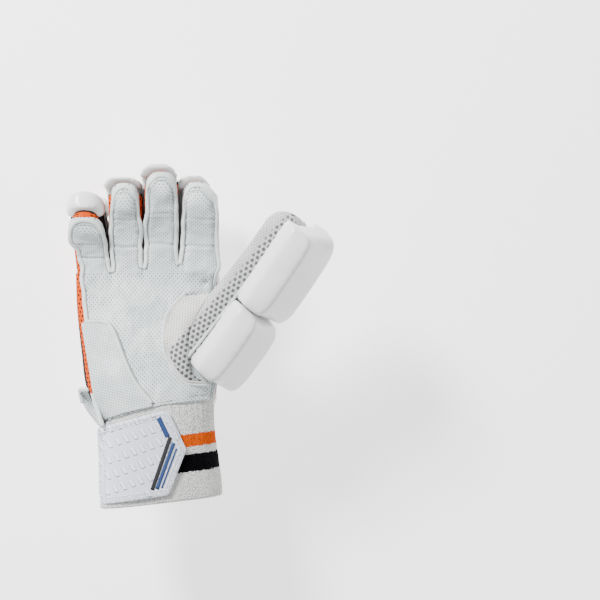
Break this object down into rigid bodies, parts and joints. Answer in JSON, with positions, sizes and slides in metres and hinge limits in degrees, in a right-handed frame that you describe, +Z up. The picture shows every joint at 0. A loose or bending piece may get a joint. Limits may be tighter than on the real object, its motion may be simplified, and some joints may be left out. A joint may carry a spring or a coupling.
{
  "type": "cricket batting glove",
  "caption": "Right-hand cricket batting glove lying palm up: perforated leather palm, padded finger rolls, padded thumb, orange mesh sides and a towelling cuff with a strap.",
  "frame": {"origin": "middle of the glove's footprint, on the surface that it lies on", "axes": "+X to the thumb side, +Y to the fingertips, +Z up out of the palm"},
  "size_m": [0.2096, 0.2826, 0.157],
  "materials": {
    "palm_leather": "soft perforated leather, matt, light grey-white",
    "pad_white": "smooth white coated leather over foam, satin gloss",
    "pad_red": "smooth red-orange coated leather over foam, satin gloss",
    "orange_mesh": "open air mesh in orange with black borders",
    "thumb_mesh": "light grey knit with a pattern of ringed holes",
    "web_suede": "beige perforated suede, matt",
    "lining": "woven lining, matt",
    "towel_white": "white towelling knit with an orange and a black band",
    "strap_white": "cool white moulded strap, satin, with blue and black bars"
  },
  "bodies": {
    "root": {"palm_shell": "palm_leather", "back_panel": "lining", "radial_strip": "orange_mesh", "ulnar_strip": "orange_mesh", "heel_patch": "palm_leather", "web_patch": "web_suede", "index_stall_front": "palm_leather", "index_stall_back": "orange_mesh", "index_bar": "pad_white", "index_wrist_block": "pad_white", "index_knuckle_block": "pad_red", "index_knuckle_roll": "pad_white", "index_middle_roll": "pad_white", "index_tip_roll": "pad_white", "middle_stall_front": "palm_leather", "middle_stall_back": "orange_mesh", "middle_bar": "pad_white", "middle_wrist_block": "pad_white", "middle_knuckle_block": "pad_red", "middle_knuckle_roll": "pad_white", "middle_middle_roll": "pad_white", "middle_tip_roll": "pad_white", "ring_stall_front": "palm_leather", "ring_stall_back": "orange_mesh", "ring_bar": "pad_white", "ring_wrist_block": "pad_white", "ring_knuckle_block": "pad_red", "ring_knuckle_roll": "pad_white", "ring_middle_roll": "pad_white", "ring_tip_roll": "pad_white", "little_stall_front": "palm_leather", "little_stall_back": "orange_mesh", "little_bar": "pad_white", "little_wrist_block": "pad_white", "little_knuckle_block": "pad_red", "little_knuckle_roll": "pad_white", "little_middle_roll": "pad_white", "little_tip_roll": "pad_white", "index_side_pad_1": "pad_white", "index_side_pad_2": "pad_white", "index_side_pad_3": "pad_white", "thumb_stall_front": "thumb_mesh", "thumb_stall_back": "thumb_mesh", "thumb_base_pad": "pad_white", "thumb_tip_pad": "pad_white", "cuff": "towel_white", "strap_label": "strap_white", "strap_band": "strap_white"}
  },
  "joints": []
}
